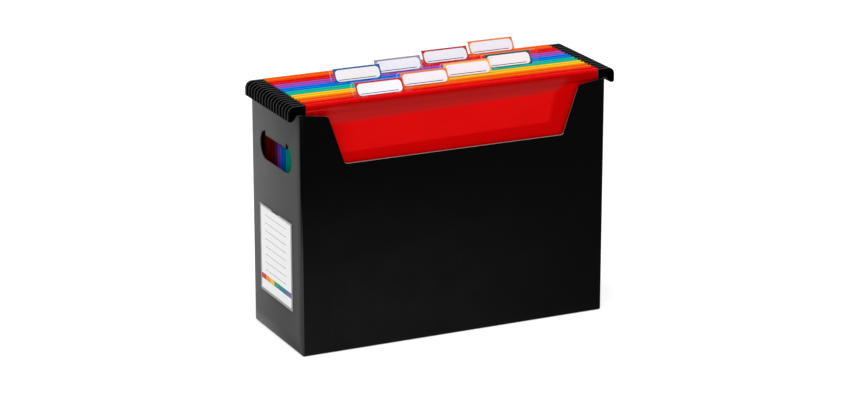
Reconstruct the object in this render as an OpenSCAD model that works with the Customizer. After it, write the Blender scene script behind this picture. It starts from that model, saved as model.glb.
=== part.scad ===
// Portable file box: a folded plastic box whose end walls carry a row of
// coloured suspension files. The front is -Y and up is +Z. The origin is the
// middle of the base.

/* [Box] */
// Length of the box over its end walls
box_length = 385; // [350:1:420]
// Depth of the box from front to back
box_depth = 144; // [138:1:190]
// Height of the end walls and the back
box_height = 285; // [270:1:330]
// Thickness of the box's plastic sheet
wall = 1.2; // [0.8:0.1:2]
// Outside radius of the folded edges
edge_radius = 2.6; // [2.2:0.1:5]

/* [Front cut-out] */
// Depth of the cut-out below the end walls' top
cutout_drop = 61.8; // [40:0.5:90]
// Width of the cut-out along its bottom edge
cutout_bottom_width = 276; // [200:1:300]
// Width of the cut-out at the shoulders of its slanted sides
cutout_top_width = 316; // [305:1:330]
// How far the top edge of the front falls from its corners to the shoulders
shoulder_fall = 4.5; // [0:0.5:8]
// Radius of the shoulders
shoulder_radius = 6; // [1:0.5:10]

/* [Hand holes] */
// Length of each hand hole
hand_length = 93; // [85:1:105]
// Height of each hand hole
hand_height = 35.5; // [30:0.5:42]
// From the end walls' top down to the top of the hand hole
hand_drop = 42.5; // [30:0.5:55]
// How far the hand hole lies behind the middle of the end wall
hand_shift = 1; // [0:0.5:6]
// Length of the crease that the grip flap hangs on
crease_length = 60; // [50:1:66]
// From the top of the hand hole down to the crease
crease_drop = 6; // [3:0.5:9]
// Space between a folded grip flap and the end wall
flap_gap = 0.5; // [0.3:0.1:1]

/* [Label pocket] */
// Width of the pocket on the left end wall
pocket_width = 94; // [70:1:100]
// Height of the pocket
pocket_height = 105.5; // [90:0.5:112]
// Height of the pocket's lower edge above the base
pocket_base = 46; // [20:0.5:60]
// How far the pocket lies behind the middle of the end wall
pocket_shift = 3; // [0:0.5:6]
// Thickness of the clear film
film = 0.4; // [0.3:0.1:0.6]
// Width of the welded seam along three sides
seam = 3; // [2:0.5:6]
// Width of the thumb notch in the pocket's open edge
thumb_width = 19.5; // [12:0.5:30]
// Height of the label card
label_height = 100; // [70:1:100]
// Thickness of the label card and of the tab cards
card = 0.3; // [0.2:0.05:0.4]
// Space on each side of a card
card_fit = 0.15; // [0.1:0.05:0.3]

/* [Files] */
// Space between the front wall and the row of files
front_space = 1.4; // [1.2:0.1:8]
// Space left free between the row of files and the back wall
back_space = 14; // [2:0.5:15]
// Space between an end wall and the side edges of the sheets
side_gap = 7.3; // [6.8:0.1:9]
// Thickness of a file's plastic sheet
sheet = 0.6; // [0.5:0.05:0.7]
// From the hem's top edge down to the fold at the bottom of a file
sheet_drop = 240; // [200:1:255]
// Height of the hem that holds a rail
hem_height = 14; // [13.5:0.5:20]
// Middle radius of the fold at the bottom of a file
file_fold_radius = 1; // [0.8:0.1:1.4]

/* [Rails] */
// How far a hook reaches out beyond the end wall that it hangs on
hook_reach = 13.5; // [11:0.5:30]
// Thickness of a rail's bar
bar_thickness = 2; // [1.8:0.05:2.2]
// Height of a rail's bar
bar_height = 11; // [8:0.5:11.5]
// Thickness of the hooks
hook_thickness = 3.6; // [3:0.1:3.8]
// Height of a rail's top above the end walls' top
hook_rise = 11; // [9:0.1:14]
// How far a hook's nose hangs below the end walls' top
nose_drop = 7; // [5:0.1:10]
// Space on each side of a bar in its hem
bar_fit = 0.1; // [0.05:0.05:0.2]
// Height of the hooks above the end walls that they rest on
rest_gap = 0.2; // [0.1:0.05:0.3]
// Width of a hook's nose
nose_width = 4.6; // [3:0.1:6]
// Radius of a hook's outer corner
hook_radius = 8; // [4:0.5:9]
// Play of a hook outside the end wall
mouth_outside = 2.6; // [1.5:0.1:3]
// Play of a hook inside the end wall
mouth_inside = 1.6; // [1:0.1:2.5]
// How far a hook's heel hangs below the end walls' top
heel_drop = 5; // [3:0.1:8]

/* [Tabs] */
// Width of a tab card
tab_card_width = 58.5; // [50:0.5:62]
// Height of a tab card along its slope
tab_card_height = 16.5; // [12:0.5:20]
// Lean of the tabs behind the vertical
tab_lean = 35; // [20:1:40]
// Wall thickness of the clear tabs
tab_wall = 0.5; // [0.4:0.1:0.7]
// How far a tab runs on beyond the left end of its card
tab_left_ear = 4.5; // [3:0.5:8]
// How far a tab runs on beyond the right end of its card
tab_right_ear = 9; // [3:0.5:12]
// Distance from one tab to the next along the length
tab_step = 64; // [60:0.5:70]
// How far the front four cards lie right of the middle
tab_shift = 4; // [0:0.5:10]
// How far the back four cards lie right of the front four
back_tab_shift = 3; // [0:0.5:10]
// Width of the prongs that hold a tab in its rail
prong_width = 8; // [6:0.5:12]
// Depth of the prongs below the hem's top edge
prong_depth = 3.4; // [2.5:0.1:4]

/* [Hidden] */
FILE_PARTS = ["front_sheet", "back_sheet", "front_rail", "back_rail", "tab", "tab_card"];
FILE_COUNT = 8;
FILE_COLOURS = ["#e0101a", "#f58212", "#f8c21c", "#16a08c", "#1667d8", "#8d4fae", "#cf1418", "#f4661c"];

$fn = 48;
ARC_STEPS = 6;
OVERCUT = 1;
BLACK = "#141416";

half_length = box_length / 2;
half_depth = box_depth / 2;
wall_inside = half_length - wall;

// Hand hole and grip flap
hand_radius = hand_height / 2;
hand_middle_z = box_height - hand_drop - hand_radius;
crease_z = box_height - hand_drop - crease_drop;
crease_axis_x = half_length - wall / 2;
crease_axis_z = crease_z - wall / 2 - 0.1;
flap_middle_x = wall_inside - flap_gap - wall / 2;

// Label pocket
card_space = card + 2 * card_fit;
label_width = pocket_width - 2 * seam - 2 * card_fit;
thumb_depth = 3;

// The row of files: rails at equal steps from the front wall back
hem_thickness = bar_thickness + 2 * bar_fit + 2 * sheet;
rail_width = max(hem_thickness, hook_thickness);
row_depth = box_depth - 2 * wall - front_space - back_space;
rail_step = (row_depth - rail_width) / (2 * FILE_COUNT - 1);
first_rail_y = -half_depth + wall + front_space + rail_width / 2;
sheet_half_length = wall_inside - side_gap;
rail_top = box_height + hook_rise;
hem_top = rail_top + bar_fit + sheet;
hem_bottom = hem_top - hem_height;
file_fold_z = hem_top - sheet_drop;
fold_clearance = 0.3;
hook_root = 3;
hook_start_x = sheet_half_length + 0.5;

// Tabs
tab_space = card + 2 * card_fit;
tab_thickness = tab_space + 2 * tab_wall;
tab_height = tab_card_height + 2 * card_fit + 2 * tab_wall;
tab_foot = 0.15;
tab_base_z = hem_top + tab_foot + tab_thickness / 2 * sin(tab_lean);
prong_thickness = 1;
prong_fit = 0.2;
prong_spacing = tab_card_width * 0.7;
// How far right of its even place each tab was pushed in, from the front file back
tab_nudge = [1, 1, -1, -4, 0, -5, -1, 3];

// Middle of a file along the depth
function file_y(i) = first_rail_y + rail_step * (2 * i - 1.5);
// Middle of a file's tab card along the length
function tab_x(i) =
    tab_step * ((i - 1) % 4 - 1.5) + tab_shift + (i > FILE_COUNT / 2 ? back_tab_shift : 0)
    + tab_nudge[(i - 1) % len(tab_nudge)];

function unit(v) = v / norm(v);
// Arc of radius r that rounds the corner p between its neighbours a and b
function corner_arc(a, p, b, r) =
    let (
        u = unit(a - p),
        v = unit(b - p),
        half = acos(u * v) / 2,
        centre = p + unit(u + v) * r / sin(half),
        first = p + u * r / tan(half) - centre,
        last = p + v * r / tan(half) - centre,
        sweep = 180 - 2 * half
    )
    [for (k = [0 : ARC_STEPS])
        let (t = sweep * k / ARC_STEPS)
        centre + (sin(sweep - t) * first + sin(t) * last) / sin(sweep)];
// Outline through corners given as [x, y, radius]
function rounded(corners) = [
    for (i = [0 : len(corners) - 1])
        let (
            n = len(corners),
            c = corners[i],
            a = corners[(i + n - 1) % n],
            b = corners[(i + 1) % n],
            p = [c[0], c[1]]
        )
        each (c[2] == 0 ? [p] : corner_arc([a[0], a[1]], p, [b[0], b[1]], c[2]))];

// Stands a Y-Z outline up and runs it along X
module along_x(from, to) {
    translate([from, 0, 0]) rotate([90, 0, 90]) linear_extrude(to - from) children();
}
// Stands an X-Z outline up and runs it along Y
module along_y(from, to) {
    translate([0, to, 0]) rotate([90, 0, 0]) linear_extrude(to - from) children();
}

// Rectangle with true round corners, centred on the origin
module round_rect(width, height, radius) {
    square([width - 2 * radius, height], center = true);
    square([width, height - 2 * radius], center = true);
    for (x = [-1, 1], y = [-1, 1])
        translate([x * (width / 2 - radius), y * (height / 2 - radius)]) circle(radius);
}

// Block with rounded upright edges and a rounded bottom, standing on z = 0
module folded_block(length, depth, height, radius) {
    tall = height + 2 * radius;
    intersection() {
        linear_extrude(height) round_rect(length, depth, radius);
        along_x(-length, length) translate([0, tall / 2]) round_rect(depth, tall, radius);
        along_y(-depth, depth) translate([0, tall / 2]) round_rect(length, tall, radius);
    }
}

// What is cut away above the front wall
module front_cutout() {
    sky = box_height + 20;
    shoulder_z = box_height - shoulder_fall;
    bottom_z = box_height - cutout_drop;
    right_side = [
        [cutout_bottom_width / 2, bottom_z, 4],
        [cutout_top_width / 2, shoulder_z, shoulder_radius],
        [half_length, box_height, 0],
        [half_length, sky, 0]];
    left_side = [for (k = [3 : -1 : 0]) [-right_side[k][0], right_side[k][1], right_side[k][2]]];
    along_y(-half_depth - OVERCUT, -half_depth + wall + OVERCUT)
        polygon(rounded(concat(right_side, left_side)));
}

// Slot with round ends that the whole hand hole is cut to
module hand_slot() {
    translate([hand_shift, hand_middle_z]) {
        square([hand_length - hand_height, hand_height], center = true);
        for (end = [-1, 1])
            translate([end * (hand_length / 2 - hand_radius), 0]) circle(hand_radius);
    }
}

// The slot, less the strip of wall above the crease
module hand_hole(side) {
    along_x(side * half_length - 3 * wall, side * half_length + 3 * wall)
        difference() {
            hand_slot();
            translate([hand_shift - crease_length / 2, crease_z]) square([crease_length, hand_height]);
        }
}

module box_shell() {
    color(BLACK)
    difference() {
        folded_block(box_length, box_depth, box_height, edge_radius);
        translate([0, 0, wall])
            folded_block(box_length - 2 * wall, box_depth - 2 * wall, box_height, edge_radius - wall);
        front_cutout();
        hand_hole(-1);
        hand_hole(1);
    }
}

// The piece cut from the hand hole, folded in and up on its crease
module grip_flap(side) {
    folded_from = crease_axis_z;
    color(BLACK)
    mirror([side < 0 ? 1 : 0, 0, 0]) {
        along_x(flap_middle_x - wall / 2, flap_middle_x + wall / 2)
            intersection() {
                translate([0, 2 * crease_z]) mirror([0, 1]) hand_slot();
                translate([-half_depth, folded_from]) square([box_depth, box_height]);
            }
        along_y(hand_shift - crease_length / 2, hand_shift + crease_length / 2) {
            translate([flap_middle_x, crease_axis_z - wall / 2])
                square([crease_axis_x - flap_middle_x, wall]);
            translate([crease_axis_x, crease_axis_z]) circle(wall / 2);
            translate([flap_middle_x, crease_axis_z]) circle(wall / 2);
        }
    }
}

// Clear sleeve welded to the left end wall, open along its top
module label_pocket() {
    depth = card_space + film;
    inner_width = pocket_width - 2 * seam;
    color("#dfe6ea", 0.4)
    translate([-half_length - depth, pocket_shift, pocket_base])
        difference() {
            translate([0, -pocket_width / 2, 0]) cube([depth, pocket_width, pocket_height]);
            translate([film, -inner_width / 2, seam]) cube([depth, inner_width, pocket_height]);
            translate([-OVERCUT, -thumb_width / 2, pocket_height - thumb_depth])
                cube([film + 2 * OVERCUT, thumb_width, thumb_depth + OVERCUT]);
        }
}

module label_card() {
    color("#f4f4f2")
    translate([
        -half_length - card_fit - card,
        pocket_shift - label_width / 2,
        pocket_base + seam + card_fit])
        cube([card, label_width, label_height]);
}

// End of a rail: the hook that hangs over the right end wall
module hook_outline() {
    rest_z = box_height + rest_gap;
    nose_z = box_height - nose_drop;
    nose_x = half_length + hook_reach;
    root_x = sheet_half_length - 2 * hook_root;
    polygon(rounded([
        [root_x, rail_top, 0],
        [nose_x, rail_top, hook_radius],
        [nose_x, nose_z, 2.4],
        [nose_x - nose_width, nose_z + 0.4, 1.5],
        [nose_x - nose_width - 3, nose_z + 2, 1],
        [half_length + mouth_outside, rest_z, 0.4],
        [wall_inside - mouth_inside, rest_z, 0.4],
        [wall_inside - mouth_inside - 1, box_height - heel_drop, 1],
        [hook_start_x, box_height - heel_drop, 1],
        [hook_start_x, rail_top - bar_height, 0],
        [root_x, rail_top - bar_height, 0]]));
}

// Bar with a hook on each end, in the middle of its own depth
module rail() {
    translate([-sheet_half_length, -bar_thickness / 2, rail_top - bar_height])
        cube([2 * sheet_half_length, bar_thickness, bar_height]);
    for (side = [0, 1])
        mirror([side, 0, 0])
            intersection() {
                along_y(-hook_thickness / 2, hook_thickness / 2) hook_outline();
                union() {
                    translate([hook_start_x, -box_depth, 0])
                        cube([box_length, 2 * box_depth, 2 * box_height]);
                    translate([0, -bar_thickness / 2, 0])
                        cube([box_length, bar_thickness, 2 * box_height]);
                }
            }
}

// The two cuts that let a tab's prongs in, from a given height up
module prong_cuts(i, bottom, depth) {
    for (side = [-1, 1])
        translate([
            tab_x(i) + side * prong_spacing / 2 - prong_width / 2 - prong_fit,
            -depth / 2,
            bottom])
            cube([prong_width + 2 * prong_fit, depth, hem_height]);
}

// Section of one half of a file, side -1 in front and 1 behind
module sheet_section(side, foot) {
    top_y = side * rail_step / 2;
    foot_y = side * file_fold_radius;
    lean = (top_y - foot_y) / (hem_bottom - file_fold_z);
    start_y = foot_y + lean * foot;
    difference() {
        translate([top_y, hem_top - hem_height / 2]) round_rect(hem_thickness, hem_height, 1);
        translate([top_y - bar_thickness / 2 - bar_fit, rail_top - bar_height - bar_fit])
            square([bar_thickness + 2 * bar_fit, bar_height + 2 * bar_fit]);
    }
    polygon([
        [top_y - sheet / 2, hem_bottom + sheet],
        [start_y - sheet / 2, file_fold_z + foot],
        [start_y + sheet / 2, file_fold_z + foot],
        [top_y + sheet / 2, hem_bottom + sheet]]);
}

// Front half of a file, up from just above the fold
module front_sheet(i) {
    color(FILE_COLOURS[i - 1])
    translate([0, file_y(i), 0])
        difference() {
            along_x(-sheet_half_length, sheet_half_length) sheet_section(-1, fold_clearance);
            translate([0, -rail_step / 2, 0])
                prong_cuts(i, rail_top - bar_fit, prong_thickness + 2 * prong_fit);
        }
}

// Back half of a file, with the round fold along its foot
module back_sheet(i) {
    color(FILE_COLOURS[i - 1])
    translate([0, file_y(i), 0])
        along_x(-sheet_half_length, sheet_half_length) {
            sheet_section(1, 0);
            translate([0, file_fold_z])
                difference() {
                    circle(file_fold_radius + sheet / 2);
                    circle(file_fold_radius - sheet / 2);
                    translate([-rail_step, 0]) square(2 * rail_step);
                }
        }
}

module front_rail(i) {
    color(BLACK)
    translate([0, file_y(i) - rail_step / 2, 0])
        difference() {
            rail();
            prong_cuts(i, hem_top - prong_depth - prong_fit, bar_thickness + 2 * OVERCUT);
        }
}

module back_rail(i) {
    color(BLACK)
    translate([0, file_y(i) + rail_step / 2, 0]) rail();
}

// Clear sleeve on the front rail, leaning back over the file, with two prongs
module tab(i) {
    left_x = tab_x(i) - tab_card_width / 2 - tab_left_ear;
    right_x = tab_x(i) + tab_card_width / 2 + tab_right_ear;
    color("#e8eef2", 0.4)
    translate([0, file_y(i) - rail_step / 2, 0]) {
        along_x(left_x, right_x)
            translate([0, tab_base_z])
                rotate(-tab_lean)
                    difference() {
                        translate([-tab_thickness / 2, 0]) square([tab_thickness, tab_height]);
                        translate([-tab_space / 2, tab_wall])
                            square([tab_space, tab_height - 2 * tab_wall]);
                    }
        for (side = [-1, 1])
            translate([
                tab_x(i) + side * prong_spacing / 2 - prong_width / 2,
                -prong_thickness / 2,
                hem_top - prong_depth])
                cube([prong_width, prong_thickness, tab_base_z + tab_wall / 2 - hem_top + prong_depth]);
    }
}

module tab_card(i) {
    color(FILE_COLOURS[i - 1])
    translate([0, file_y(i) - rail_step / 2, 0])
        along_x(tab_x(i) - tab_card_width / 2, tab_x(i) + tab_card_width / 2)
            translate([0, tab_base_z])
                rotate(-tab_lean)
                    translate([-card / 2, tab_wall + card_fit]) square([card, tab_card_height]);
}

box_shell();
grip_flap(-1);  // left_grip_flap
grip_flap(1);  // right_grip_flap
label_pocket();
label_card();
for (i = [1 : FILE_COUNT]) {
    front_sheet(i);
    back_sheet(i);
    front_rail(i);
    back_rail(i);
    tab(i);
    tab_card(i);
}
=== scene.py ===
from math import acos, cos, hypot, pi, radians, sin, sqrt, tan

import bmesh
import bpy
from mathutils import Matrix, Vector
from mathutils.geometry import delaunay_2d_cdt, intersect_point_line


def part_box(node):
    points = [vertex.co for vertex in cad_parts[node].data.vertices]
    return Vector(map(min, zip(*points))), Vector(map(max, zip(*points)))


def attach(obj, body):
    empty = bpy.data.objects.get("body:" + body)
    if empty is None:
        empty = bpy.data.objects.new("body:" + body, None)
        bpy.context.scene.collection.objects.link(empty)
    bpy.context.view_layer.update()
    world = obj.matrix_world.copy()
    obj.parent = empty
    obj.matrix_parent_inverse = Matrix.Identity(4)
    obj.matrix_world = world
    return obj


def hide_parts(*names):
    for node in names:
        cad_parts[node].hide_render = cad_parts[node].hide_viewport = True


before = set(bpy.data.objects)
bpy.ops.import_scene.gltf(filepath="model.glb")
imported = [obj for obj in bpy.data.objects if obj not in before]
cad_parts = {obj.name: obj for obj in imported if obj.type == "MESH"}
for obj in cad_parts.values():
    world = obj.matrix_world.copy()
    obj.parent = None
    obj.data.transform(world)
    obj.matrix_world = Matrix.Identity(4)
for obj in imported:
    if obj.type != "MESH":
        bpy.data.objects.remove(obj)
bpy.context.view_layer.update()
scene = bpy.context.scene
mm = 0.001

# Camera: a long lens a little above the box, looking at its front from the left, its lens fitted to the
# frame of the photograph, 854 by 410; the render size isn't set here. The picture's tones are left as they
# are rendered.
camera_data = bpy.data.cameras.new("camera")
camera_data.sensor_width = 36
camera_data.lens = 125.57
camera_data.clip_end = 60
camera = bpy.data.objects.new("camera", camera_data)
camera.location = (-1.4261, -3.0084, 1.1801)
camera.rotation_euler = (radians(90 - 17.417), 0, radians(-25.325))
scene.collection.objects.link(camera)
scene.camera = camera
scene.view_settings.view_transform = "Standard"

# The box: one sheet of black polypropylene, die cut with the slanted opening in its front and a
# hand hole in each end, creased, folded up from its base and welded. Its cut edges are crisp, its
# folds are rolled over, and its skin has a fine satin grain.
half_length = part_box("box_shell")[1].x
half_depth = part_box("box_shell")[1].y
box_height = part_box("box_shell")[1].z
box_wall = 1.2 * mm
fold_radius = 2.6 * mm
fold_run = fold_radius * pi / 2
fold_steps = 5
wall_bow = 0.5 * mm
bow_rise = 80 * mm
grid_step = 14 * mm
hole_step = 6 * mm
base_columns = 26
base_rows = 9
cutout_bottom = 223.2 * mm
cutout_bottom_half = 138 * mm
cutout_corner = 4 * mm
cutout_shoulder = 280.5 * mm
cutout_shoulder_half = 158 * mm
shoulder_radius = 6 * mm
hand_length = 93 * mm
hand_height = 35.5 * mm
hand_top = 242.5 * mm
hand_shift = 1 * mm
crease_half = 30 * mm
crease_height = 236.5 * mm
hole_arc_steps = 14
meeting_gap = 0.01 * mm
fine_gap = 0.001 * mm

# Marks on the black plastic: a paler foot, a painted sheen on the back of the left end and a painted
# highlight down the front left fold. Each is made of runs, and a run is a direction on the piece with the
# distances along it where the mark starts and where it is full.
rightward = (1, 0, 0)
backward = (0, 1, 0)
upward = (0, 0, 1)
# Paler towards the foot and the left of the walls, though not on the left end wall.
paler_foot = [
    (upward, 240 * mm, 0), (rightward, 300 * mm, -150 * mm), (rightward, -191.5 * mm, -189 * mm)]
# Painted sheen: the back and upper part of the left end wall made paler, where light glances off it.
painted_end_sheen = [((-1, 0, 0), 187 * mm, 191 * mm), ((0, 1, 0.25), -20 * mm, 150 * mm)]
# Painted highlight: a pale strip down the lower part of the front left fold, at a share of the end sheen's
# colour.
painted_fold_highlight = [((-0.707, -0.707, 0), 185.3 * mm, 185.8 * mm), (upward, 200 * mm, 90 * mm)]
fold_highlight_share = 0.6


def noise(tree, size, detail=2.0, stretch=(1, 1, 1)):
    """Cloudy pattern on the piece itself, with spots of about the given size in metres"""
    place = tree.nodes.new("ShaderNodeTexCoord")
    fit = tree.nodes.new("ShaderNodeMapping")
    fit.inputs["Scale"].default_value = stretch
    cloud = tree.nodes.new("ShaderNodeTexNoise")
    cloud.inputs["Scale"].default_value = 1 / size
    cloud.inputs["Detail"].default_value = detail
    tree.links.new(place.outputs["Object"], fit.inputs["Vector"])
    tree.links.new(fit.outputs["Vector"], cloud.inputs["Vector"])
    return cloud.outputs["Fac"]


def spread(tree, pattern, low, high):
    """Stretches the middle of a pattern over the values from low to high"""
    ramp = tree.nodes.new("ShaderNodeMapRange")
    ramp.inputs["From Min"].default_value = 0.3
    ramp.inputs["From Max"].default_value = 0.7
    ramp.inputs["To Min"].default_value = low
    ramp.inputs["To Max"].default_value = high
    tree.links.new(pattern, ramp.inputs["Value"])
    return ramp.outputs["Result"]


def blend_colours(tree, pattern, first, second):
    """Colour between first and second, as the pattern says"""
    mix = tree.nodes.new("ShaderNodeMix")
    mix.data_type = "RGBA"
    for socket, colour in (("A", first), ("B", second)):
        colour_socket = [s for s in mix.inputs if s.name == socket and s.type == "RGBA"][0]
        if isinstance(colour, tuple):
            colour_socket.default_value = (*colour, 1)
        else:
            tree.links.new(colour, colour_socket)
    tree.links.new(pattern, mix.inputs["Factor"])
    return [s for s in mix.outputs if s.type == "RGBA"][0]


def raise_grain(tree, pattern, height, strength=1.0, under=None):
    """Bump of the given height in metres, on top of the bump under it"""
    bump = tree.nodes.new("ShaderNodeBump")
    bump.inputs["Distance"].default_value = height
    bump.inputs["Strength"].default_value = strength
    tree.links.new(pattern, bump.inputs["Height"])
    if under:
        tree.links.new(under, bump.inputs["Normal"])
    return bump.outputs["Normal"]


def surface(name, specular):
    """New material with one shader, and its tree"""
    material = bpy.data.materials.new(name)
    material.use_nodes = True
    shader = material.node_tree.nodes["Principled BSDF"]
    shader.inputs["Specular IOR Level"].default_value = specular
    return material, material.node_tree, shader


def connect(tree, shader, colour, roughness, normal):
    """Gives a shader its colour, roughness and grain"""
    tree.links.new(colour, shader.inputs["Base Color"])
    tree.links.new(roughness, shader.inputs["Roughness"])
    tree.links.new(normal, shader.inputs["Normal"])


def run_along(tree, way, start, end):
    """Runs smoothly from 0 to 1 between two distances along a direction on the piece"""
    place = tree.nodes.new("ShaderNodeTexCoord")
    distance = tree.nodes.new("ShaderNodeVectorMath")
    distance.operation = "DOT_PRODUCT"
    distance.inputs[1].default_value = way
    ramp = tree.nodes.new("ShaderNodeMapRange")
    ramp.interpolation_type = "SMOOTHSTEP"
    ramp.inputs["From Min"].default_value = start
    ramp.inputs["From Max"].default_value = end
    tree.links.new(place.outputs["Object"], distance.inputs[0])
    tree.links.new(distance.outputs["Value"], ramp.inputs["Value"])
    return ramp.outputs["Result"]


def multiply(tree, first, second):
    """Product of two patterns"""
    product = tree.nodes.new("ShaderNodeMath")
    product.operation = "MULTIPLY"
    tree.links.new(first, product.inputs[0])
    tree.links.new(second, product.inputs[1])
    return product.outputs[0]


def zone(tree, runs):
    """1 where all the runs of a mark are full, and 0 where one of them hasn't started"""
    pattern = run_along(tree, *runs[0])
    for run in runs[1:]:
        pattern = multiply(tree, pattern, run_along(tree, *run))
    return pattern


def moulded_black(name, dark, light, gloss, specular, grain_size, grain_height, haze=0.0, end_sheen_tone=None):
    """Black polypropylene: uneven in gloss, paler towards its foot, with a painted sheen on the back of
    its left end and a painted highlight down its front left fold
    """
    material, tree, shader = surface(name, specular)
    shader.inputs["Sheen Weight"].default_value = haze
    shader.inputs["Sheen Roughness"].default_value = 0.3
    paler_foot_share = multiply(tree, zone(tree, paler_foot), spread(tree, noise(tree, 30 * mm, 4), 0.7, 1))
    tone = multiply(tree, paler_foot_share, spread(tree, noise(tree, 3 * mm, 3), 0.8, 1))
    shade = blend_colours(tree, tone, dark, light)
    # Painted sheen in patches on the back of the left end, then a painted highlight down the front left
    # fold.
    if end_sheen_tone:
        patches = spread(tree, noise(tree, 20 * mm, 4), 0.85, 1)
        shade = blend_colours(tree, multiply(tree, zone(tree, painted_end_sheen), patches), shade, end_sheen_tone)
        fold_highlight_tone = tuple(fold_highlight_share * c for c in end_sheen_tone)
        shade = blend_colours(tree, zone(tree, painted_fold_highlight), shade, fold_highlight_tone)
    roughness = spread(tree, noise(tree, 4 * mm, 3), *gloss)
    grain = raise_grain(tree, noise(tree, grain_size, 3), grain_height)
    connect(tree, shader, shade, roughness, grain)
    return material


def solid(name, points, faces, materials):
    """Object of the given points and faces, smooth all over"""
    mesh = bpy.data.meshes.new(name)
    mesh.from_pydata([tuple(p) for p in points], [], faces)
    for material in materials:
        mesh.materials.append(material)
    mesh.shade_smooth()
    thing = bpy.data.objects.new(name, mesh)
    scene.collection.objects.link(thing)
    return thing


def weld_points(thing, gap=meeting_gap):
    """Joins points that meet, drops faces that have shrunk to nothing and turns all faces outward"""
    work = bmesh.new()
    work.from_mesh(thing.data)
    bmesh.ops.remove_doubles(work, verts=work.verts, dist=gap)
    bmesh.ops.dissolve_degenerate(work, edges=work.edges, dist=gap)
    bmesh.ops.recalc_face_normals(work, faces=work.faces)
    work.to_mesh(thing.data)
    work.free()


def pair_triangles(thing):
    """Joins triangles two by two where they make a good four-sided face"""
    work = bmesh.new()
    work.from_mesh(thing.data)
    bmesh.ops.join_triangles(
        work, faces=work.faces, angle_face_threshold=radians(20), angle_shape_threshold=radians(50))
    work.to_mesh(thing.data)
    work.free()


def settle(thing):
    """Keeps what a piece's modifiers make of it as its mesh"""
    view = bpy.context.evaluated_depsgraph_get()
    made = bpy.data.meshes.new_from_object(thing.evaluated_get(view))
    thing.modifiers.clear()
    thing.data = made


def soften(thing, width, segments=2, angle=50):
    """Rounds the sharp edges of a piece"""
    bevel = thing.modifiers.new("soft_edges", "BEVEL")
    bevel.width = width
    bevel.segments = segments
    bevel.limit_method = "ANGLE"
    bevel.angle_limit = radians(angle)
    bevel.harden_normals = True


def thicken(thing, thickness, offset=-1):
    """Gives a sheet its thickness, behind it or, with an offset of 0, on both of its sides"""
    skin = thing.modifiers.new("thickness", "SOLIDIFY")
    skin.thickness = thickness
    skin.offset = offset
    return skin


def colour_faces(thing, kinds):
    """Gives each flat face of a piece the material that its kind says"""
    for face, kind in zip(thing.data.polygons, kinds):
        face.material_index = kind
        face.use_smooth = False


def arc(centre, radius, first, last, steps):
    """Points on a circle from one angle to another, in degrees"""
    return [
        (centre[0] + radius * cos(radians(a)), centre[1] + radius * sin(radians(a)))
        for a in (first + (last - first) * k / steps for k in range(steps + 1))
    ]


def round_corners(corners, steps=6):
    """Closed outline through corners given as (x, y, radius)"""
    points = []
    for k, (x, y, radius) in enumerate(corners):
        here = Vector((x, y))
        if radius == 0:
            points.append((x, y))
            continue
        back = (Vector(corners[k - 1][:2]) - here).normalized()
        ahead = (Vector(corners[(k + 1) % len(corners)][:2]) - here).normalized()
        half = acos(max(-1, min(1, back.dot(ahead)))) / 2
        centre = here + (back + ahead).normalized() * radius / sin(half)
        start = here + back * radius / tan(half) - centre
        end = here + ahead * radius / tan(half) - centre
        sweep = pi - 2 * half
        for j in range(steps + 1):
            turn = sweep * j / steps
            p = centre + (start * sin(sweep - turn) + end * sin(turn)) / sin(sweep)
            points.append((p.x, p.y))
    return points


def inside(point, outline):
    """Whether a point lies inside a closed outline"""
    x, y = point
    found = False
    for k, (ax, ay) in enumerate(outline):
        bx, by = outline[k - 1]
        if (ay > y) != (by > y) and x < (bx - ax) * (y - ay) / (by - ay) + ax:
            found = not found
    return found


def divide(outline, step):
    """The same closed outline with its long sides divided"""
    points = []
    for k, (ax, ay) in enumerate(outline):
        bx, by = outline[(k + 1) % len(outline)]
        parts = max(1, round(hypot(bx - ax, by - ay) / step))
        points += [(ax + (bx - ax) * j / parts, ay + (by - ay) * j / parts) for j in range(parts)]
    return points


def flat_mesh(outline, holes, inner_points, lines):
    """Triangles of a flat sheet: its outline, its holes, points to pass through and lines to keep"""
    points, edges = [], []
    for loop in [outline] + holes:
        first = len(points)
        points += [Vector(p) for p in loop]
        edges += [(first + k, first + (k + 1) % len(loop)) for k in range(len(loop))]
    rims = [(points[a], points[b]) for a, b in edges]
    for line in lines:
        first = len(points)
        points += [Vector(p) for p in line]
        edges += [(first + k, first + k + 1) for k in range(len(line) - 1)]
    for p in inner_points:
        if inside(p, outline) and not any(inside(p, hole) for hole in holes):
            spot = Vector(p)
            if all(nearest(spot, a, b) > grid_step * 0.4 for a, b in rims):
                points.append(spot)
    cut = delaunay_2d_cdt(points, edges, [], 0, 1e-6)
    kept = []
    for face in cut[2]:
        middle = sum((cut[0][k] for k in face), Vector((0, 0))) / 3
        if inside(middle, outline) and not any(inside(middle, hole) for hole in holes):
            kept.append(face)
    return cut[0], kept


def nearest(spot, a, b):
    """Distance from a spot to the stretch between two points"""
    touch, share = intersect_point_line(spot, a, b)
    if share < 0:
        touch = a.to_3d()
    elif share > 1:
        touch = b.to_3d()
    return (spot.to_3d() - touch.to_3d()).length


# The plan of the box, from the middle of the back round by the left end: straight walls given by
# their start, direction and length, each with a rolled fold after it.
side_x = half_length - fold_radius
side_y = half_depth - fold_radius
box_walls = [
    ((0, half_depth), (-1, 0), side_x),
    ((-half_length, side_y), (0, -1), 2 * side_y),
    ((-side_x, -half_depth), (1, 0), 2 * side_x),
    ((half_length, -side_y), (0, 1), 2 * side_y),
    ((side_x, half_depth), (-1, 0), side_x),
]
wall_starts = []
walked = 0
for _, _, wall_length in box_walls:
    wall_starts.append(walked)
    walked += wall_length + fold_run
plan_length = walked - fold_run
left_start, front_start, right_start = wall_starts[1:4]
sheet_top = box_height - fold_radius + fold_run


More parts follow.
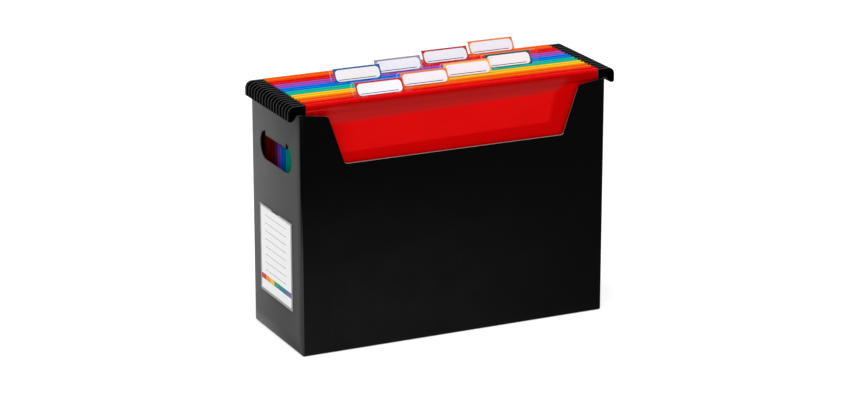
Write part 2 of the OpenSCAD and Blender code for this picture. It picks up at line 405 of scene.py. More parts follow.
def on_box(along, up):
    """Where a point of the flat sheet comes to lie once it is folded"""
    number = max(k for k in range(5) if wall_starts[k] <= along + 1e-9)
    (start_x, start_y), (way_x, way_y), length = box_walls[number]
    out = Vector((way_y, -way_x, 0))
    way = Vector((way_x, way_y, 0))
    run = along - wall_starts[number]
    spot = Vector((start_x, start_y, 0)) + way * min(run, length)
    if run > length:
        turn = (run - length) / fold_radius
        centre = spot - out * fold_radius
        out = out * cos(turn) + way * sin(turn)
        spot = centre + out * fold_radius
    roll = max(0, 1 - up / fold_run) * pi / 2
    height = fold_radius * (1 - sin(roll)) + max(0, up - fold_run)
    share = min(1, run / length)
    if number in (0, 4):
        share = share / 2 if number == 4 else 0.5 + share / 2
    bow = wall_bow * 4 * share * (1 - share) * min(1, height / bow_rise)
    spot -= out * (fold_radius * (1 - cos(roll)) + bow)
    spot.z = height
    return spot


def on_sheet(height):
    """Height above the floor as a place on the flat sheet"""
    return height - fold_radius + fold_run


def hand_hole_outline():
    """Outline of a hand hole, with the strip of wall that the grip flap's crease is in"""
    radius = hand_height / 2
    middle = hand_top - radius
    run = (hand_length - hand_height) / 2
    tip = 90 - abs(90 - acos((crease_half - run) / radius) * 180 / pi)
    points = arc((hand_shift + run, middle), radius, -90, tip, hole_arc_steps)
    points += [(hand_shift + crease_half, crease_height), (hand_shift - crease_half, crease_height)]
    points += arc((hand_shift - run, middle), radius, 180 - tip, 270, hole_arc_steps)
    return points


def flat_walls():
    """Triangles of the walls before they are folded, with the cut-out and the hand holes"""
    cutout = round_corners([
        (side_x, box_height, 0),
        (cutout_shoulder_half, cutout_shoulder, shoulder_radius),
        (cutout_bottom_half, cutout_bottom, cutout_corner),
        (-cutout_bottom_half, cutout_bottom, cutout_corner),
        (-cutout_shoulder_half, cutout_shoulder, shoulder_radius),
        (-side_x, box_height, 0)])
    top = [(front_start + side_x + x, on_sheet(z)) for x, z in cutout]
    fold_columns = []
    for k in range(4):
        fold_start = wall_starts[k] + box_walls[k][2]
        fold_columns += [fold_start + fold_run * j / fold_steps for j in range(fold_steps + 1)]
    after = [(s, sheet_top) for s in reversed(fold_columns) if s > front_start + side_x * 2 + 1e-6]
    before = [(s, sheet_top) for s in reversed(fold_columns) if s < front_start - 1e-6]
    floor_line = [(s, 0) for s in fold_columns]
    outline = [(0, 0)] + floor_line + [(plan_length, 0), (plan_length, sheet_top)] + after + top
    outline = divide(outline + before + [(0, sheet_top)], grid_step)
    hole = hand_hole_outline()
    holes = [
        divide([(left_start + side_y - y, on_sheet(z)) for y, z in hole], hole_step),
        divide([(right_start + side_y + y, on_sheet(z)) for y, z in hole], hole_step)]
    rows = [fold_run * j / fold_steps for j in range(1, fold_steps + 1)]
    row_count = round((sheet_top - fold_run) / grid_step)
    levels = [fold_run + (sheet_top - fold_run) * j / row_count for j in range(1, row_count)]
    column_count = round(plan_length / grid_step)
    columns = [plan_length * j / column_count for j in range(1, column_count)]
    lines = [[(s, 0), (s, sheet_top)] for s in fold_columns]
    lines += [[(0, h), (plan_length, h)] for h in rows]
    inner = [(s, h) for s in columns for h in levels]
    inner += [(s, h) for s in fold_columns for h in levels]
    return flat_mesh(outline, holes, inner, lines)


def base_panel(flat, points):
    """Triangles of the base, inside the line where the folded walls end"""
    rim = [k for k, p in enumerate(flat) if abs(p.y) < 1e-7]
    rim.sort(key=lambda k: flat[k].x)
    edge = []
    for k in rim:
        spot = (points[k].x, points[k].y)
        if not edge or hypot(spot[0] - edge[-1][0], spot[1] - edge[-1][1]) > meeting_gap:
            edge.append(spot)
    if hypot(edge[0][0] - edge[-1][0], edge[0][1] - edge[-1][1]) < meeting_gap:
        edge.pop()
    grid = [
        (side_x * (2 * i / base_columns - 1), side_y * (2 * j / base_rows - 1))
        for i in range(base_columns + 1) for j in range(base_rows + 1)]
    return flat_mesh(edge, [], grid, [])


def paint_edge_glints(box):
    """Leaves a painted glint on the cut edge along the foot of the cut-out, and a dimmer painted glint on
    its slanted sides
    """
    above_foot = cutout_bottom + 2 * mm
    below_shoulder = cutout_shoulder - 4 * mm
    for face in box.data.polygons:
        spot = face.center
        in_front = spot.y < 2 * box_wall - half_depth and cutout_bottom / 2 < spot.z
        on_slant = above_foot < spot.z < below_shoulder and abs(face.normal.y) < 0.6
        if face.material_index == 1:
            face.material_index = 0
            if in_front and spot.z < above_foot:
                face.material_index = 1
            elif in_front and on_slant:
                face.material_index = 2


def fold_box():
    """The flat sheet, cut out, folded and given its thickness"""
    flat, faces = flat_walls()
    points = [on_box(p.x, p.y) for p in flat]
    base_flat, base_faces = base_panel(flat, points)
    first = len(points)
    points += [Vector((p.x, p.y, 0)) for p in base_flat]
    faces = [tuple(face) for face in faces] + [tuple(first + k for k in face) for face in base_faces]
    box = solid("folded_box", points, faces, [box_black, cut_edge_glint, slant_edge_glint])
    weld_points(box)
    pair_triangles(box)
    skin = thicken(box, box_wall)
    skin.use_even_offset = True
    skin.material_offset_rim = 1
    soften(box, 0.3 * mm)
    box.modifiers["soft_edges"].material = 1
    settle(box)
    paint_edge_glints(box)
    return box


# The box's plastic; its last colour is the painted sheen on the left end wall.
box_black = moulded_black(
    "box_black", (0.0, 0.0, 0.0), (0.011, 0.011, 0.012), (0.4, 0.5), 0.01, 0.5 * mm, 0.02 * mm, 1.0,
    (0.088, 0.083, 0.087))
# Painted glints for the cut edges of the front's cut-out: a pale one for its foot and a dimmer one for its
# slanted sides.
cut_edge_glint = moulded_black(
    "cut_edge_glint", (0.3, 0.28, 0.27), (0.36, 0.34, 0.33), (0.35, 0.45), 0.2, 0.8 * mm, 0.01 * mm)
slant_edge_glint = moulded_black(
    "slant_edge_glint", (0.13, 0.12, 0.12), (0.16, 0.15, 0.15), (0.35, 0.45), 0.2, 0.8 * mm, 0.01 * mm)
folded_box = fold_box()
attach(folded_box, "box")
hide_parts("box_shell")

# The grip flaps: the tongues stamped from the hand holes. Each stays joined to the wall along a
# short crease and is folded in and up, so that the hand closes on a doubled, rounded edge.
flap_gap = 0.5 * mm
flap_columns = 12
flap_rows = 24
bend_rows = 10


def grip_flap(name, node, side):
    """One tongue, rolled through half a turn at the crease and standing up behind the wall"""
    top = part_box(node)[1].z
    wall_x = half_length - box_wall / 2
    flap_x = wall_x - box_wall - flap_gap
    bend = (wall_x - flap_x) / 2
    radius = hand_height / 2
    run = (hand_length - hand_height) / 2
    rows = []
    for k in range(bend_rows + 1):
        turn = pi * k / bend_rows
        rows.append((wall_x - bend + bend * cos(turn), crease_height - bend * sin(turn), crease_half))
    for k in range(1, flap_rows + 1):
        height = crease_height + (top - crease_height) * k / flap_rows
        off = height - (top - radius)
        reach = run + sqrt(max(0, radius * radius - off * off))
        rows.append((flap_x, height, crease_half if k == 1 else reach))
    points, faces = [], []
    for x, z, reach in rows:
        for j in range(flap_columns + 1):
            points.append((side * x, hand_shift - reach + 2 * reach * j / flap_columns, z))
    across = flap_columns + 1
    for k in range(len(rows) - 1):
        for j in range(flap_columns):
            a = k * across + j
            faces.append((a, a + 1, a + across + 1, a + across))
    flap = solid(name, points, faces, [shaded_flap_black])
    weld_points(flap, fine_gap)
    thicken(flap, box_wall, 0)
    soften(flap, 0.22 * mm)
    return flap


# A darker copy of the box's plastic without its sheen, as painted shade on the tongue's roll under the
# crease.
shaded_flap_black = moulded_black(
    "shaded_flap_black", (0.0003, 0.0003, 0.0003), (0.004, 0.004, 0.004), (0.4, 0.5), 0.01, 0.5 * mm,
    0.02 * mm)
for flap_side, flap_word in ((-1, "left"), (1, "right")):
    tongue = grip_flap(f"{flap_word}_tongue", f"{flap_word}_grip_flap", flap_side)
    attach(tongue, f"{flap_word}_flap")
    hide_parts(f"{flap_word}_grip_flap")

# The label card: white card, printed with eight ruled lines and a stripe in seven colours across
# its foot. It stands loose in the pocket.
card_low, card_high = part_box("label_card")
line_first_y = -27 * mm
line_last_y = 34.7 * mm
line_top = 140.2 * mm
line_pitch = 9.53 * mm
line_count = 8
line_width = 0.5 * mm
stripe_low = 60.7 * mm
stripe_high = 67.2 * mm
stripe_colours = [
    ("stripe_violet", (0.16, 0.12, 0.29)),
    ("stripe_blue", (0.01, 0.14, 0.34)),
    ("stripe_teal", (0.0, 0.19, 0.24)),
    ("stripe_green", (0.0, 0.3, 0.12)),
    ("stripe_yellow", (0.84, 0.52, 0.04)),
    ("stripe_orange", (0.82, 0.26, 0.02)),
    ("stripe_red", (0.52, 0.03, 0.02)),
]


def paper(name, colour, roughness=0.55):
    """Coated white card or print on it: a faint fibre in its tone and its surface"""
    material, tree, shader = surface(name, 0.08)
    tone = spread(tree, noise(tree, 2.5 * mm, 5), 0, 1)
    shade = blend_colours(tree, tone, tuple(c * 0.97 for c in colour), colour)
    gloss = spread(tree, noise(tree, 1.2 * mm), roughness - 0.06, roughness + 0.06)
    fibre = raise_grain(tree, noise(tree, 0.25 * mm, 4, (1, 1, 0.4)), 0.008 * mm)
    connect(tree, shader, shade, gloss, fibre)
    return material


def label():
    """The card as one sheet of cells, each with its own print, and its thickness behind them"""
    across = [card_low.y, line_first_y, line_last_y, card_high.y]
    bands = len(stripe_colours)
    stripe_cuts = [card_low.y + (card_high.y - card_low.y) * k / bands for k in range(bands + 1)]
    columns = sorted(set(round(y, 7) for y in across + stripe_cuts))
    rows = [card_low.z, stripe_low, stripe_high, card_high.z]
    lines = [line_top - line_pitch * k for k in range(line_count)]
    for z in lines:
        rows += [z - line_width / 2, z + line_width / 2]
    rows = sorted(set(round(z, 7) for z in rows))
    points = [(card_low.x, y, z) for z in rows for y in columns]
    faces, prints = [], []
    for r in range(len(rows) - 1):
        z = (rows[r] + rows[r + 1]) / 2
        for c in range(len(columns) - 1):
            y = (columns[c] + columns[c + 1]) / 2
            a = r * len(columns) + c
            faces.append((a, a + len(columns), a + len(columns) + 1, a + 1))
            ruled = line_first_y < y < line_last_y and any(abs(z - k) < line_width / 2 for k in lines)
            striped = stripe_low < z < stripe_high
            band = int((y - card_low.y) / (card_high.y - card_low.y) * bands)
            prints.append(2 + band if striped else 1 if ruled else 0)
    stripes = [paper(name, colour) for name, colour in stripe_colours]
    card = solid("label_sheet", points, faces, [card_white, ruled_grey] + stripes)
    colour_faces(card, prints)
    thicken(card, card_high.x - card_low.x)
    return card


card_white = paper("card_white", (0.88, 0.88, 0.88))
ruled_grey = paper("ruled_grey", (0.07, 0.07, 0.075))
label_sheet = label()
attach(label_sheet, "label")
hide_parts("label_card")

# The label pocket: clear film welded to the left end wall down both sides and along its foot,
# with a thumb notch in its open upper edge. The weld is milky, and the film steps down to it.
pocket_low, pocket_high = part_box("label_pocket")
pocket_seam = 3 * mm
thumb_half = 9.75 * mm
thumb_drop = 3 * mm
thumb_slope = 2 * mm
pocket_step = 0.8 * mm
film_thick = 0.4 * mm
weld_rise = 0.45 * mm


def clear_plastic(name, tint, clearness, roughness):
    """Clear film: what is behind shows through its thin tint"""
    material, tree, shader = surface(name, 0.25)
    tone = spread(tree, noise(tree, 6 * mm, 3), 0, 1)
    shade = blend_colours(tree, tone, tuple(c * 0.9 for c in tint), tint)
    gloss = spread(tree, noise(tree, 3 * mm), roughness * 0.8, roughness * 1.3)
    ripple = raise_grain(tree, noise(tree, 12 * mm, 2), 0.05 * mm)
    connect(tree, shader, shade, gloss, ripple)
    shader.inputs["Alpha"].default_value = clearness
    return material


def pocket():
    """The film as one sheet that steps down to the wall at its weld"""
    face_x = pocket_low.x
    weld_x = pocket_high.x - weld_rise
    low_y, high_y = pocket_low.y, pocket_high.y
    middle = (low_y + high_y) / 2
    notch = [thumb_half + thumb_slope, thumb_half]
    columns = [low_y, low_y + pocket_seam, low_y + pocket_seam + pocket_step]
    columns += [middle - reach for reach in notch] + [middle + reach for reach in reversed(notch)]
    columns += [high_y - pocket_seam - pocket_step, high_y - pocket_seam, high_y]
    rows = [pocket_low.z, pocket_low.z + pocket_seam, pocket_low.z + pocket_seam + pocket_step]
    rows += [pocket_low.z + 40 * mm, pocket_high.z - 20 * mm, pocket_high.z - thumb_drop, pocket_high.z]
    lip_row = len(rows) - 2
    notch_column = columns.index(middle - thumb_half)
    last_c, last_r = len(columns) - 1, len(rows) - 1
    points, faces, kinds = [], [], []
    for r, z in enumerate(rows):
        for c, y in enumerate(columns):
            welded = c <= 1 or c >= last_c - 1 or r <= 1
            points.append((weld_x if welded else face_x, y, z))
    for r in range(last_r):
        for c in range(last_c):
            if r == lip_row and c == notch_column:
                continue
            a = r * len(columns) + c
            faces.append((a, a + len(columns), a + len(columns) + 1, a + 1))
            kinds.append(1 if c == 0 or c == last_c - 1 or r == 0 else 2 if r == lip_row else 0)
    film_sheet = solid("pocket_film", points, faces, [clear_film, weld_film, lip_film])
    colour_faces(film_sheet, kinds)
    thicken(film_sheet, film_thick)
    return film_sheet


clear_film = clear_plastic("clear_film", (0.9, 0.91, 0.93), 0.02, 0.12)
weld_film = clear_plastic("weld_film", (0.5, 0.5, 0.53), 0.5, 0.3)
lip_film = clear_plastic("lip_film", (0.7, 0.7, 0.72), 0.35, 0.2)
pocket_film = pocket()
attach(pocket_film, "box")
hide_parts("label_pocket")

# The file sheets: coloured translucent polypropylene, one folded sheet to a file, split here at
# the fold along its foot. Each half ends in a hem that is folded over its rail and welded shut
# below it. Front to back: red, orange, yellow, green, blue, purple, red, orange.
file_count = 8
sheet_thick = 0.6 * mm
hem_height = 14 * mm
hem_half = 1.4 * mm
hem_round = 1.1 * mm
foot_radius = 1 * mm
foot_lap = 0.3 * mm
weld_height = 2.4 * mm
weld_inside = 0.7 * mm
weld_profile = ((0.5 * mm, 1.25), (1.5 * mm, 1.25), (1.9 * mm, 0.8), (2.3 * mm, 1.0))
sheet_rows = 18
sheet_columns = 28
first_belly = 1.1 * mm
belly = 1.8 * mm
wave_height = 0.12 * mm
wave_turns = 9
# Each colour with a darker copy of it that stands in for the sheet in shade.
sheet_colours = {
    "red": ((0.86, 0.004, 0.004), (0.66, 0.0002, 0.0006)),
    "orange": ((1.0, 0.14, 0.001), (0.75, 0.05, 0.001)),
    "yellow": ((1.0, 0.6, 0.015), (0.85, 0.42, 0.006)),
    "green": ((0.003, 0.53, 0.39), (0.001, 0.37, 0.26)),
    "blue": ((0.0005, 0.2, 0.86), (0.0003, 0.13, 0.62)),
    "purple": ((0.42, 0.08, 0.5), (0.25, 0.035, 0.36)),
}
file_colours = ["red", "orange", "yellow", "green", "blue", "purple", "red", "orange"]

# Where a hanging sheet has light and shade painted into its colour, again as runs: painted light on the
# open part of the first sheet, painted shade on the hem over its bar, a painted reflection band along the
# hem, the lit ridge, a painted highlight line and painted shade on the rear sheets' left ends.
sheet_up = (-0.0175, 0, 1)
# Painted light: the first sheet lit where it lies open behind the cut-out.
lit_open_front = [
    (sheet_up, 236 * mm, 239 * mm), (rightward, -165 * mm, -120 * mm),
    ((0.977, 0, -0.214), 71 * mm, 64 * mm)]
foremost = [(backward, -62 * mm, -65 * mm)]
# Painted shade on the hem, where the black bar is inside it.
shade_over_bar = [(upward, 281.5 * mm, 283.5 * mm)]
# Painted reflection: a duller band below the hem.
painted_reflection_band = [
    (sheet_up, 270 * mm, 276 * mm), (upward, 293 * mm, 286 * mm),
    (rightward, -166 * mm, -148 * mm), ((0.74, 0, -0.67), -82 * mm, -92 * mm)]
# The hem's ridge lit from above, at full colour over the painted shade below it.
lit_hem_ridge = [(upward, 291.5 * mm, 295.8 * mm)]
# Painted highlight: a thin paler line across the left part of the hem.
painted_highlight_line = [
    (upward, 287.6 * mm, 288.1 * mm), (upward, 288.8 * mm, 288.3 * mm),
    (rightward, -125 * mm, -160 * mm)]
# Painted shade on the left ends of the rear sheets, deep in the box.
rear_ends_shade = [
    (rightward, -130 * mm, -168 * mm), (upward, 268 * mm, 255 * mm), (backward, 12 * mm, 24 * mm)]


def translucent_sheet(name, colour, shaded_colour):
    """Translucent polypropylene, with painted light and shade in its colour: lit and shaded copies of the
    colour, with marks of painted light and shade over them
    """
    material, tree, shader = surface(name, 0.012)
    clouds = spread(tree, noise(tree, 45 * mm, 3, (1, 1, 2)), 0.8, 1)
    # Painted light on the first sheet's open part, mottled.
    lit_front_tone = blend_colours(tree, multiply(tree, zone(tree, lit_open_front), clouds), shaded_colour, colour)
    # The other sheets sit in painted shade: a cloudy mix of the shaded and the lit colour.
    haze = spread(tree, noise(tree, 60 * mm, 3, (1, 1, 2)), 0.3, 0.6)
    shade = blend_colours(tree, haze, shaded_colour, colour)
    # Painted shade over the bar, a painted reflection band, the lit ridge, a painted highlight line and
    # painted shade at the rear ends.
    tones = [
        (foremost, lit_front_tone),
        (shade_over_bar, tuple(0.74 * c for c in shaded_colour)),
        (painted_reflection_band, tuple(0.6 * c + 0.011 for c in colour)),
        (lit_hem_ridge, colour),
        (painted_highlight_line, tuple(0.9 * c + 0.02 for c in colour)),
        (rear_ends_shade, tuple(0.22 * c for c in shaded_colour)),
    ]
    for runs, tone in tones:
        shade = blend_colours(tree, zone(tree, runs), shade, tone)
    gloss = spread(tree, noise(tree, 8 * mm, 3, (0.2, 1, 1)), 0.2, 0.3)
    ripple = raise_grain(tree, noise(tree, 25 * mm, 2, (0.3, 1, 1)), 0.15 * mm)
    grain = raise_grain(tree, noise(tree, 0.6 * mm, 3), 0.006 * mm, 1.0, ripple)
    connect(tree, shader, shade, gloss, grain)
    shader.inputs["Subsurface Weight"].default_value = 0.15
    shader.inputs["Subsurface Radius"].default_value = (1, 0.6, 0.5)
    shader.inputs["Subsurface Scale"].default_value = 1.5 * mm
    return material


def strip(path, thick):
    """Cells of a flat strip along a path: two points for each of the path's points"""
    points, cells = [], []
    for k, p in enumerate(path):
        back = Vector(path[max(0, k - 1)])
        ahead = Vector(path[min(len(path) - 1, k + 1)])
        way = (ahead - back).normalized()
        out = Vector((way.y, -way.x)) * thick[k]
        points += [Vector(p) + out, Vector(p) - out]
        if k:
            a = 2 * k
            cells.append((a - 2, a - 1, a + 1, a))
    return points, cells


def run_section(name, points, cells, stations, place, materials):
    """Solid with the given section, a flat net of cells in Y and Z, run through stations along X"""
    uses = {}
    for cell in cells:
        for a, b in zip(cell, cell[1:] + cell[:1]):
            uses[frozenset((a, b))] = uses.get(frozenset((a, b)), 0) + 1
    rim = [pair for pair, times in uses.items() if times == 1]
    size = len(points)
    spots = [place(x, p[0], p[1]) for x in stations for p in points]
    faces = list(cells)
    last = size * (len(stations) - 1)
    faces += [tuple(last + k for k in cell) for cell in cells]
    for k in range(len(stations) - 1):
        for a, b in rim:
            faces.append((k * size + a, k * size + b, (k + 1) * size + b, (k + 1) * size + a))
    thing = solid(name, spots, faces, materials)
    weld_points(thing, fine_gap)
    thing.data.set_sharp_from_angle(angle=radians(38))
    return thing


def hem_section(hem_y, top, foot, side):
    """Section of one half of a file: its hem, the weld below the hem, and the sheet down to its foot"""
    foot_y, foot_z = foot
    half = sheet_thick / 2
    bottom = top - hem_height
    loop = [(-half, bottom), (-hem_half, bottom + weld_height)]
    over = top - half - hem_round
    loop += arc((-hem_half + hem_round, over), hem_round, 180, 90, 5)
    loop += arc((hem_half - hem_round, over), hem_round, 90, 0, 5)
    loop += [(hem_half, bottom + weld_height), (half, bottom)]
    outer, inner = [], []
    for k, p in enumerate(loop):
        ahead = Vector(loop[min(len(loop) - 1, k + 1)])
        way = (ahead - Vector(loop[max(0, k - 1)])).normalized()
        out = Vector((-way.y, way.x)) * half
        outer.append(Vector(p) + out)
        inner.append(Vector(p) - out)
    outer[0], outer[-1] = Vector((-half, bottom)), Vector((half, bottom))
    inner[0] = Vector((-0.05 * mm, bottom + weld_inside))
    inner[-1] = Vector((0.05 * mm, bottom + weld_inside))
    ring = len(loop)
    points = outer + inner
    cells = [(k, k + 1, ring + k + 1, ring + k) for k in range(ring - 1)]
    cells.append((ring - 1, 0, ring, 2 * ring - 1))
    points = [p + Vector((hem_y, 0)) for p in points]
    path = [(hem_y, bottom)]
    thick = [half]
    for drop, width in weld_profile:
        path.append((hem_y, bottom - drop))
        thick.append(half * width)
    start_z = path[-1][1]
    for k in range(1, sheet_rows + 1):
        share = k / sheet_rows
        path.append((hem_y + (foot_y - hem_y) * share, start_z + (foot_z - start_z) * share))
        thick.append(half)
    if side > 0:
        for turn in arc((0, foot_z), foot_radius, 0, -180, 8)[1:]:
            path.append((foot_y - foot_radius + turn[0], turn[1]))
            thick.append(half)
    sheet_points, sheet_cells = strip(path, thick)
    first = len(points)
    points += sheet_points
    cells += [tuple(first + k for k in cell) for cell in sheet_cells]
    return points, cells


def file_sheet(i, word, side):
    """One half of a file, between its rail and its fold"""
    node = f"file_{i}_{word}_sheet"
    low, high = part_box(node)
    rail_low, rail_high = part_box(f"file_{i}_{word}_rail")
    hem_y = (rail_low.y + rail_high.y) / 2
    file_y = (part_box(f"file_{i}_front_rail")[0].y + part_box(f"file_{i}_back_rail")[1].y) / 2
    foot_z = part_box(f"file_{i}_back_sheet")[0].z + foot_radius + sheet_thick / 2
    foot = (file_y + side * foot_radius, foot_z + (foot_lap if side < 0 else 0))
    points, cells = hem_section(hem_y, high.z, foot, side)
    bulge = side * (first_belly if i == 1 and side < 0 else belly)
    span = high.z - hem_height - foot_z
    swing = 0.7 * i + (1.3 if side > 0 else 0)

    def place(x, y, z):
        drop = min(1, max(0, (high.z - hem_height - 2 * mm - z) / span))
        along = x / high.x
        swell = 4 * drop * (1 - drop) * (1 - 0.5 * along * along)
        wave = wave_height * sin(wave_turns * along + swing) * (1 - drop)
        return (x, y + bulge * swell + wave, z)

    stations = [low.x + (high.x - low.x) * k / sheet_columns for k in range(sheet_columns + 1)]
    material = sheet_materials[file_colours[i - 1]]
    sheet = run_section(f"sheet_{i}_{word}", points, cells, stations, place, [material])
    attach(sheet, f"file_{i}_{word}")
    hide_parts(node)


sheet_materials = {
    colour: translucent_sheet(f"{colour}_polypropylene", *tones)
    for colour, tones in sheet_colours.items()}
for file_number in range(1, file_count + 1):
    file_sheet(file_number, "front", -1)
    file_sheet(file_number, "back", 1)

# The rails: black plastic bars in the hems, each with a moulded hook on both ends that hangs over the top
# edge of an end wall. Their faces are deep black, and their rounded front edges take a paler material as a
# painted highlight.
bar_half = 1 * mm
bar_height = 11 * mm
bar_sink = 0.02 * mm
hook_half = 1.8 * mm
hook_root = 6.8 * mm
hook_overlap = 0.8 * mm
hook_radius = 8 * mm
nose_drop = 7 * mm
nose_width = 4.6 * mm
nose_rise = 2 * mm
mouth_outside = 2.6 * mm
mouth_inside = 1.6 * mm
mouth_slope = 1 * mm
rest_gap = 0.2 * mm
heel_drop = 5 * mm
rail_black = moulded_black(
    "rail_black", (0.0006, 0.0006, 0.0006), (0.0012, 0.0012, 0.0012), (0.26, 0.34), 0.002, 0.9 * mm,
    0.006 * mm)
# Painted highlight for the rounded front edges of the hooks and bars.
rail_rim_highlight = moulded_black(
    "rail_rim_highlight", (0.1, 0.098, 0.096), (0.13, 0.127, 0.125), (0.26, 0.34), 0.1, 0.9 * mm, 0.006 * mm)


def hook_corners(high):
    """Corners of the right hook, as (x, z, radius)"""
    top = high.z
    nose = high.x
    nose_z = box_height - nose_drop
    rest_z = box_height + rest_gap
    heel_z = box_height - heel_drop
    wall_in = half_length - box_wall
    start = wall_in - hook_root
    return [
        (start, top, 0.5 * mm),
        (nose, top, hook_radius),
        (nose, nose_z, 2.4 * mm),
        (nose - nose_width, nose_z + 0.4 * mm, 1.5 * mm),
        (nose - nose_width - 3 * mm, nose_z + nose_rise, 1 * mm),
        (half_length + mouth_outside, rest_z, 0.4 * mm),
        (wall_in - mouth_inside, rest_z, 0.4 * mm),
        (wall_in - mouth_inside - mouth_slope, heel_z, 1 * mm),
        (start, heel_z, 1 * mm)]


def plate(work, outline, low_y, high_y):
    """Adds a flat plate with an X and Z outline to a mesh in the making"""
    near = [work.verts.new((x, low_y, z)) for x, z in outline]
    far = [work.verts.new((x, high_y, z)) for x, z in outline]
    work.faces.new(near)
    work.faces.new(list(reversed(far)))
    for k in range(len(outline)):
        work.faces.new((near[k - 1], near[k], far[k], far[k - 1]))


def rail(i, word):
    """One rail with its two hooks, and a painted highlight on the rounding of its front edges"""
    node = f"file_{i}_{word}_rail"
    low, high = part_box(node)
    middle = (low.y + high.y) / 2
    hook = round_corners(hook_corners(high), 8)
    bar_end = half_length - box_wall - hook_root + hook_overlap
    bar_low, bar_top = high.z - bar_height, high.z - bar_sink
    bar = [(-bar_end, bar_low), (bar_end, bar_low), (bar_end, bar_top), (-bar_end, bar_top)]
    work = bmesh.new()
    plate(work, bar, middle - bar_half, middle + bar_half)
    for side in (-1, 1):
        plate(work, [(side * x, z) for x, z in hook], middle - hook_half, middle + hook_half)
    bmesh.ops.recalc_face_normals(work, faces=work.faces)
    thing = solid(f"rail_{i}_{word}", [], [], [rail_black, rail_rim_highlight])
    work.to_mesh(thing.data)
    work.free()
    thing.data.shade_smooth()
    soften(thing, 0.5 * mm, 3)
    settle(thing)
    # Faces on the rounding of the front edges take the painted highlight.
    for face in thing.data.polygons:
        on_front_edge = -0.95 < face.normal.y < -0.2
        face.material_index = 1 if on_front_edge else 0
    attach(thing, f"file_{i}_{word}")
    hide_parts(node)


for file_number in range(1, file_count + 1):
    rail(file_number, "front")
    rail(file_number, "back")

# The tabs: clear plastic sleeves, folded flat, with rounded corners and two prongs that are
# pushed through the hem into the front rail. They lean back over their file.
tab_lean = radians(35)
tab_up = Vector((0, sin(tab_lean), cos(tab_lean)))
tab_front = Vector((0, -cos(tab_lean), sin(tab_lean)))
tab_thick = 1.6 * mm
tab_corner = 2.6 * mm
tab_corner_steps = 5
tab_space = 0.15 * mm
fold_height = 0.5 * mm
fold_bulge = 0.12 * mm
prong_half = 4 * mm
prong_thick = 0.8 * mm
prong_taper = 1.2 * mm
prong_tip = 1.4 * mm
prong_spacing = 0.7 * 58.5 * mm
prong_reach = 3.4 * mm
# Whitish, less clear film on the sleeve's folds and ends as a painted highlight, dimmer on the lower fold,
# the right end and the prongs.
tab_face = clear_plastic("tab_clear", (0.92, 0.93, 0.95), 0.01, 0.08)
tab_rim_highlight = clear_plastic("tab_rim_highlight", (0.97, 0.96, 0.98), 0.38, 0.1)
tab_dim_highlight = clear_plastic("tab_dim_highlight", (0.95, 0.94, 0.96), 0.07, 0.1)


def tab_place(i):
    """Where the foot of a tab's slope is, its length up the slope and its ends"""
    low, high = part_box(f"file_{i}_tab")
    rail_low, rail_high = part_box(f"file_{i}_front_rail")
    rail_y = (rail_low.y + rail_high.y) / 2
    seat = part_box(f"file_{i}_front_sheet")[1].z + tab_space
    tall = (high.z - seat - tab_thick * sin(tab_lean)) / cos(tab_lean)
    base = seat + tab_thick / 2 * sin(tab_lean)
    return rail_y, base, tall, low.x, high.x


def prong(work, middle, rail_y, base):
    """Adds one arrow-headed prong, from inside the foot of the sleeve down into its rail"""
    foot = base - prong_reach
    top, narrow = base + prong_taper, prong_half - prong_taper
    outline = [
        (-prong_half, top), (prong_half, top), (prong_half, foot + prong_tip),
        (narrow, foot), (-narrow, foot), (-prong_half, foot + prong_tip)]
    near = [work.verts.new((middle + x, rail_y - prong_thick / 2, z)) for x, z in outline]
    far = [work.verts.new((middle + x, rail_y + prong_thick / 2, z)) for x, z in outline]
    made = [work.faces.new(list(reversed(near))), work.faces.new(far)]
    made += [work.faces.new((near[k - 1], near[k], far[k], far[k - 1])) for k in range(len(outline))]
    for face in made:
        face.material_index = 2


